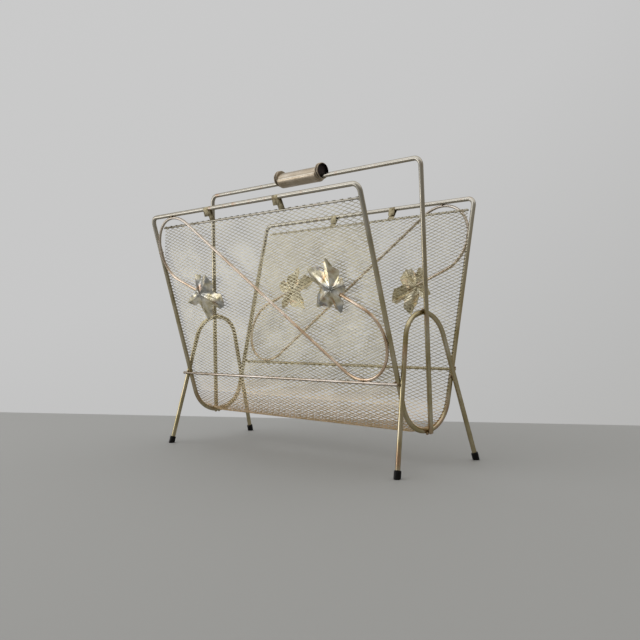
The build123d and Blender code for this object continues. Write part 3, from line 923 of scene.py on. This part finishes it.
mesh_piece("front_mesh_panel", side_start, sheet_end, 1)
mesh_piece("rear_mesh_panel", -sheet_end, -side_start, -1)
mesh_piece("mesh_trough", -side_start, side_start)

# %% [markdown]
# Each leaf is stamped from thin sheet: five lobes with saw-toothed edges, a rib along each lobe and hollows
# between. The outline is drawn once, rings of it are extruded towards the heart of the leaf, and then every
# point is raised by the ribs, the hollows and the way its lobe was bent. Sculpting would be freer, but from
# numbers all four leaves stay of one kind.

# %% Leaf outline
leaf_overlap = 10.0 * mm
leaf_length = 61.0 * mm
leaf_half_width = 38.0 * mm
leaf_thickness = 0.5 * mm
leaf_stand = 1.2 * mm
leaf_lift = scroll_out + wire_radius + seat_gap + leaf_stand
leaf_heart = Vector((14.0, 0, 0)) * mm
leaf_rings = 12
ring_step = 0.98
edge_cuts = 5
tooth_out = 0.55 * mm
tooth_in = 0.25 * mm
leaf_outline = [
    (1.00, 0.00), (0.90, 0.17), (0.78, 0.32), (0.66, 0.26), (0.54, 0.30), (0.60, 0.62), (0.48, 1.00),
    (0.34, 0.78), (0.22, 0.74), (0.14, 0.44), (0.06, 0.62), (-0.14, 0.56), (-0.10, 0.24), (0.02, 0.07),
]
print("half of a leaf's outline has", len(leaf_outline), "points")

# %% Leaf relief
lobe_angles = [0, radians(66), radians(-66), radians(134), radians(-134)]
lobe_lengths = [47.0 * mm, 41.7 * mm, 41.7 * mm, 29.7 * mm, 29.7 * mm]
rib_halves = [2.6 * mm, 1.5 * mm, 1.5 * mm, 1.2 * mm, 1.2 * mm]
rib_height = 2.2 * mm
lobe_fold = 0.42
lobe_sharpness = 8
vein_height = 0.10 * mm
vein_pitch = 1.4 * mm
vein_slant = 0.8
vein_start = 4.0 * mm
dent_height = 0.5 * mm
dent_size = 15.0 * mm


def leaf_height(point, curls):
    """How far a point of a leaf is raised."""
    spot = point - leaf_heart
    reach = max(spot.length, 0.1 * mm)
    total = 0.0
    height = 0.0
    rib = 0.0
    for angle, length, curl, rib_half in zip(lobe_angles, lobe_lengths, curls, rib_halves):
        way = Vector((cos(angle), sin(angle), 0))
        along = spot.dot(way)
        if along <= 0:
            continue
        across = abs(way.cross(spot).z)
        share = (along / reach) ** lobe_sharpness
        run = along / length
        vein = vein_height * sin((along - vein_slant * across) / vein_pitch) * min(1.0, across / vein_start)
        height += share * (curl * run**2 - lobe_fold * across * min(1.0, 2 * run) + vein)
        total += share
        rib = max(rib, rib_height * max(0.2, 1 - run) * exp(-((across / rib_half) ** 2)))
    if total:
        height /= max(total, 0.2)
    dents = dent_height * noise.noise(point / dent_size + Vector((curls[0], curls[1], 0)) / mm)
    return height + rib + dents


print("a leaf has", len(lobe_angles), "lobes")

# %% Leaf plate
def leaf_plate(curls):
    """One leaf, flat on its foot, with its tip along X and its face up."""
    bm = bmesh.new()
    half = [Vector((along * leaf_length, across * leaf_half_width, 0)) for along, across in leaf_outline]
    other_half = [Vector((corner.x, -corner.y, 0)) for corner in reversed(half[1:])]
    face = bm.faces.new([bm.verts.new(corner) for corner in half + other_half])
    bmesh.ops.subdivide_edges(bm, edges=bm.edges[:], cuts=edge_cuts)
    for place, loop in enumerate(face.loops):
        tooth = tooth_out if place % 2 else -tooth_in
        loop.vert.co += (loop.vert.co - leaf_heart).normalized() * tooth
    ring = bm.edges[:]
    bmesh.ops.delete(bm, geom=[face], context="FACES_ONLY")
    for step in range(leaf_rings):
        left = leaf_rings - step
        inner, ring = grow_ring(bm, ring)
        shrink = (left - ring_step) / left
        bmesh.ops.scale(bm, vec=(shrink, shrink, 1), space=Matrix.Translation(-leaf_heart), verts=inner)
    bmesh.ops.pointmerge(bm, verts=inner, merge_co=leaf_heart)
    face_outwards(bm)
    for vert in bm.verts:
        vert.co.z = leaf_height(vert.co, curls)
    thicken(bm, leaf_thickness)
    return bm


print("a leaf is drawn in", leaf_rings, "rings")

# %% [markdown]
# The four leaves share one outline, but their lobes have been bent by hand and by use. Each leaf's five
# numbers say how far the tips of its lobes are bent up or down, in millimetres. A leaf sits on the tail of
# its scroll and points the way that the tail does. Four separate models would differ more, but such leaves
# come from one die.

# %% Leaves
leaf_turns = {"front_right": radians(-4)}
leaf_curls = {
    "front_right": (-5.0, -4.0, 7.0, -3.0, 6.0),
    "front_left": (-4.0, 6.0, -3.0, -6.0, 4.0),
    "rear_right": (4.0, 7.0, -3.0, 3.0, -3.0),
    "rear_left": (3.0, 6.0, 5.0, -3.0, -3.0),
}
for side, turn in side_turn.items():
    for loop in loop_turn:
        tip, tail_way = scroll_end(side, loop)
        end = "right" if turn * tip.x > 0 else "left"
        label = f"{side}_{end}"
        foot = tip - tail_way * leaf_overlap
        heading = atan2(tail_way.y, tail_way.x) + leaf_turns.get(label, 0)
        bm = leaf_plate([curl * mm for curl in leaf_curls[label]])
        place = Matrix.Translation((foot.x, foot.y, leaf_lift)) @ Matrix.Rotation(heading, 4, "Z")
        bmesh.ops.transform(bm, matrix=side_frame[side] @ place, verts=bm.verts)
        frame_piece(bm, f"{label}_leaf", [leaf_finishes[side]])
        print(label, "leaf points", round(heading * 180 / pi), "degrees round")

# %% [markdown]
# A clip is a strip of sheet: a flap on the front of the rail, over the rail, down behind it and round the
# mesh rod. An edge as wide as the strip is moved along that way by extruding and spinning, and the strip it
# leaves behind gets thickness. A box could be bent to that shape, but this way the folds fit both rods.

# %% Clips
clip_width = 11.0 * mm
clip_thickness = 0.8 * mm
clip_flap = 10.0 * mm
clip_hook = radians(150)
clip_edge = clip_thickness * 0.3
corner_angle = radians(60)
touch = 0.01 * mm
mesh_rod_drop = rail_up - rod_up
clip_places = {"front": (-74.0 * mm, 67.0 * mm), "rear": (-67.0 * mm, 49.0 * mm)}


def clip_strip(turn):
    """A clip on a rail at the origin: X along the rail, Y up the side, Z out. Its flap hangs in front."""
    bm = bmesh.new()
    fold = rod_radius + seat_gap
    hook = mesh_rod_radius + seat_gap
    strap_turn = acos((fold - hook) / hypot(mesh_rod_drop, rod_inwards))
    strap_angle = atan2(-mesh_rod_drop, -rod_inwards) - turn * strap_turn
    strap_sweep = turn * (strap_angle - (0 if turn > 0 else pi)) % (2 * pi)
    leave = Vector((0, sin(strap_angle), cos(strap_angle)))
    hook_middle = Vector((0, -mesh_rod_drop, -rod_inwards))
    ends = [bm.verts.new((way * clip_width / 2, -clip_flap, turn * fold)) for way in (-1, 1)]
    edge = [bm.edges.new(ends)]
    edge = extrude_ring(bm, edge, (0, clip_flap, 0))
    edge = spin_ring(bm, edge, (0, 0, 0), along_rack, -turn * strap_sweep)
    edge = extrude_ring(bm, edge, hook_middle + leave * (hook - fold))
    spin_ring(bm, edge, hook_middle, along_rack, -turn * clip_hook)
    bmesh.ops.remove_doubles(bm, verts=bm.verts, dist=touch)
    face_outwards(bm)
    thicken(bm, clip_thickness)
    sharp = [edge for edge in bm.edges if edge.calc_face_angle(0) > corner_angle]
    round_edges(bm, sharp, clip_edge, 2)
    return bm


for side, places in clip_places.items():
    for x in places:
        end = "right" if side_turn[side] * x > 0 else "left"
        bm = clip_strip(side_turn[side])
        place = side_frame[side] @ Matrix.Translation((x, rail_up, 0))
        bmesh.ops.transform(bm, matrix=place, verts=bm.verts)
        frame_piece(bm, f"{side}_{end}_clip", [dull["clip"]])
print("clips drop", round(mesh_rod_drop / mm, 1), "mm to the mesh rod")

# %% [markdown]
# The feet are pushed-on rubber cups. A cup's section is spun round the leg's line, the floor's plane cuts
# the cup, the cut is filled, and the edge that stands on the floor is rounded. A cylinder could stand in
# for it, but a section has the rim and the room for the leg.

# %% Sections to spin
def spin_section(section, middle, way, steps=48):
    """Spin a closed section of (along, radius) points round a line."""
    bm = bmesh.new()
    corners = [bm.verts.new((radius, 0, along)) for along, radius in section]
    edges = [bm.edges.new((first, second)) for first, second in zip(corners, corners[1:] + corners[:1])]
    bmesh.ops.spin(
        bm, geom=corners + edges, cent=(0, 0, 0), axis=(0, 0, 1), angle=2 * pi, steps=steps, use_merge=True
    )
    bmesh.ops.remove_doubles(bm, verts=bm.verts, dist=touch)
    face_outwards(bm)
    bmesh.ops.transform(bm, matrix=aimed(middle, way), verts=bm.verts)
    return bm


def rounded(corner_along, corner_radius, bend, start, sweep, steps=4):
    """A rounded corner of a section, as points on an arc about its centre."""
    points = []
    for step in range(steps + 1):
        angle = start + sweep * step / steps
        points.append((corner_along + bend * sin(angle), corner_radius + bend * cos(angle)))
    return points


print("sections can be spun")

# %% Foot caps
cap_radius = 4.4 * mm
cap_height = 10.0 * mm
cap_rim = 0.8 * mm
cap_core = 0.4 * mm
sole_round = 1.3 * mm

for end, turn in end_turn.items():
    for side, toward in side_turn.items():
        foot = on_arch(turn, -toward * foot_half, 0)
        way = (on_arch(turn, 0, arch_peak) - foot).normalized()
        section = [(-cap_radius, cap_radius)]
        section += rounded(cap_height - cap_rim, cap_radius - cap_rim, cap_rim, 0, pi / 2)
        section += [(cap_height, rod_radius), (cap_sole, rod_radius)]
        section += [(cap_sole, cap_core), (-cap_radius, cap_core)]
        bm = spin_section(section, foot, way)
        trim(bm, (0, 0, 0), (0, 0, -1))
        bmesh.ops.holes_fill(bm, edges=[edge for edge in bm.edges if edge.is_boundary])
        sharp = [edge for edge in bm.edges if edge.is_manifold and edge.calc_face_angle() > corner_angle]
        sole = [edge for edge in sharp if all(vert.co.z < touch for vert in edge.verts)]
        round_edges(bm, sole, sole_round, 4)
        frame_piece(bm, f"{side}_{end}_foot_cap", [dull["rubber"]])
print("caps are", round(2 * cap_radius / mm, 1), "mm across")

# %% [markdown]
# The grip is a tube rolled from sheet, with the lapped edge of the sheet as a line along its front. Both of
# its ends carry a grooved collar that sits higher than the tube, with a dark hollow that the rail comes out
# of. Tube and collars are sections spun round their own lines, and the tube's top is then pressed in a
# little above the lap. A sheet that is really rolled up would have the lap too, but not the closed ends.

# %% Tube of the grip
grip_place = -5.5 * mm
grip_half = 44.5 * mm
grip_radius = 10.9 * mm
grip_wall = 0.9 * mm
grip_round = 2.0 * mm
grip_rise = 3.5 * mm
grip_mouth = 6.9 * mm
collar_length = 6.0 * mm
lap_angle = radians(1)
lap_highlight_width = radians(4)
lap_step = 0.7 * mm
pressed_to = radians(170)
grip_steps = 90
painted_shade_slot = 1
lap_highlight_slot = 2

tube_half = grip_half - collar_length
tube_middle = Vector((grip_place, 0, handle_z + grip_rise))
half_wall = [(tube_half * share, grip_radius) for share in (0.2, 0.4, 0.6, 0.8)]
half_wall += rounded(tube_half - grip_round, grip_radius - grip_round, grip_round, 0, pi / 2, 6)
half_wall += [(tube_half, grip_mouth), (tube_half - grip_wall, grip_mouth)]
half_wall += [(tube_half - grip_wall, grip_radius - grip_wall - lap_step)]
whole_wall = half_wall + [(-along, radius) for along, radius in reversed(half_wall)]
grip_bm = spin_section(whole_wall, tube_middle, along_rack, grip_steps)
for vert in grip_bm.verts:
    spoke = vert.co - tube_middle
    spoke.x = 0
    angle = atan2(spoke.z, -spoke.y)
    if spoke.length > grip_radius - grip_round and lap_angle < angle < pressed_to:
        vert.co -= spoke.normalized() * lap_step
# Faces along the lap get the bright finish, a painted highlight along the seam.
for face in grip_bm.faces:
    spoke = face.calc_center_median() - tube_middle
    angle = atan2(spoke.z, -spoke.y)
    if lap_angle < angle < lap_angle + lap_highlight_width and abs(spoke.x) < tube_half - grip_round:
        face.material_index = lap_highlight_slot
print("tube is", round(2 * tube_half / mm, 1), "mm long")

# %% [markdown]
# A collar is a ring with two beads and a groove between them. A plug closes it round the rail, which comes
# out low in it, so the plug bridges a large ring of edges and a small one that are not in line. The groove
# and the hollow in front of the plug get a near-black finish as painted shade. A boolean could cut the hole
# into a disc, but bridging gives cleaner faces.

# %% Helpers for the collars
ring_sides = 64


def join(bm, other):
    """Add another bmesh to this one."""
    carrier = bpy.data.meshes.new("carrier")
    other.to_mesh(carrier)
    other.free()
    bm.from_mesh(carrier)
    bpy.data.meshes.remove(carrier)


def add_ring(bm, radius, middle):
    """A circle of edges across the rail."""
    place = Matrix.Translation(middle) @ Matrix.Rotation(pi / 2, 4, "Y")
    bmesh.ops.create_circle(bm, segments=ring_sides, radius=radius, matrix=place)


print("rings across the rail have", ring_sides, "sides")

# %% Collars of the grip
collar_radius = 11.2 * mm
collar_rise = 6.8 * mm
collar_wall = 1.0 * mm
collar_hollow = 4.0 * mm
collar_lap = 0.5 * mm
bead_round = 1.0 * mm
groove_depth = 0.85 * mm
groove_from = -3.9 * mm
groove_to = -2.3 * mm
running_gap = 0.05 * mm
bead_inset = 0.2 * mm
bore_reach = 0.02 * mm
plug_overlap = 0.1 * mm

collar_bore = collar_radius - collar_wall
bead_middle = collar_radius - bead_round
groove_radius = collar_radius - groove_depth
for turn in (1, -1):
    collar_middle = Vector((grip_place + turn * grip_half, 0, handle_z + collar_rise))
    outer_bead = bead_round - collar_length
    section = [(-collar_length - collar_lap, collar_bore)]
    section += rounded(outer_bead, bead_middle, bead_round, -pi / 2, pi, 8)
    section += [(groove_from, groove_radius), (groove_to, groove_radius)]
    section += rounded(-bead_round - bead_inset, bead_middle, bead_round, -pi / 2.2, pi * 0.95, 8)
    section += [(0, collar_bore), (-collar_hollow, collar_bore)]
    collar = spin_section(section, collar_middle, along_rack * turn, grip_steps)
    for face in collar.faces:
        # The groove and the hollow get the near-black finish: painted shade.
        spoke = face.calc_center_median() - collar_middle
        along = turn * spoke.x
        spoke.x = 0
        in_groove = groove_from < along < groove_to
        in_bore = spoke.length < collar_bore + bore_reach
        face.material_index = painted_shade_slot if in_groove or in_bore else 0
    join(grip_bm, collar)
    plug = bmesh.new()
    plug_middle = collar_middle - along_rack * turn * collar_hollow
    rail_middle = Vector((plug_middle.x, 0, handle_z))
    add_ring(plug, collar_bore + plug_overlap, plug_middle)
    add_ring(plug, rod_radius + running_gap, rail_middle)
    bmesh.ops.bridge_loops(plug, edges=plug.edges[:])
    face_outwards(plug)
    thicken(plug, collar_length + collar_lap - collar_hollow)
    # The plug's face in the hollow gets it too: painted shade.
    for face in plug.faces:
        depth = turn * (plug_middle.x - face.calc_center_median().x)
        face.material_index = painted_shade_slot if depth < plug_overlap else 0
    join(grip_bm, plug)
frame_piece(grip_bm, "handle_grip", [grip_finish, dull["painted_shade"], dull["lap_highlight"]], "grip")
print("grip is", round(2 * grip_half / mm, 1), "mm long with its collars")

# %% [markdown]
# Where rods touch they are brazed. The frame keeps each bead as a small ball, so the places of the balls
# are read from its two bead groups, and a lumpy bead is set at each, big enough to bite into both rods.
# Rods melted into one mesh could show such joints too, but then the pieces would not come apart.

# %% Places of the beads
def bead_places(node):
    """Middle and radius of every loose ball in a group of beads."""
    bm = bmesh.new()
    bm.from_mesh(frame["nodes"][node].data)
    bmesh.ops.remove_doubles(bm, verts=bm.verts, dist=touch)
    waiting = set(bm.verts)
    places = []
    for first in bm.verts:
        if first not in waiting:
            continue
        waiting.remove(first)
        ball = [first]
        for vert in ball:
            near = [edge.other_vert(vert) for edge in vert.link_edges]
            fresh = [other for other in near if other in waiting]
            waiting.difference_update(fresh)
            ball.extend(fresh)
        middle = sum((vert.co for vert in ball), Vector()) / len(ball)
        places.append((middle, max((vert.co - middle).length for vert in ball)))
    bm.free()
    return places


weld_places = {node: bead_places(node) for node in ("frame_welds", "side_welds")}
print("beads found:", {node: len(places) for node, places in weld_places.items()})

# %% Weld beads
bead_growth = 1.25
lump_share = 0.22
lump_size = 0.9 * mm
lump_shift = 3.0 * mm
for node, places in weld_places.items():
    bm = bmesh.new()
    for middle, radius in places:
        made = bmesh.ops.create_icosphere(bm, subdivisions=3, radius=radius * bead_growth)["verts"]
        for vert in made:
            lump = noise.noise(vert.co / lump_size + middle / lump_shift)
            vert.co = middle + vert.co * (1 + lump_share * lump)
            vert.co.y = min(max(vert.co.y, cad_low.y), cad_high.y)
    frame_piece(bm, node, [dull["weld"]])
    print(node, "is made")
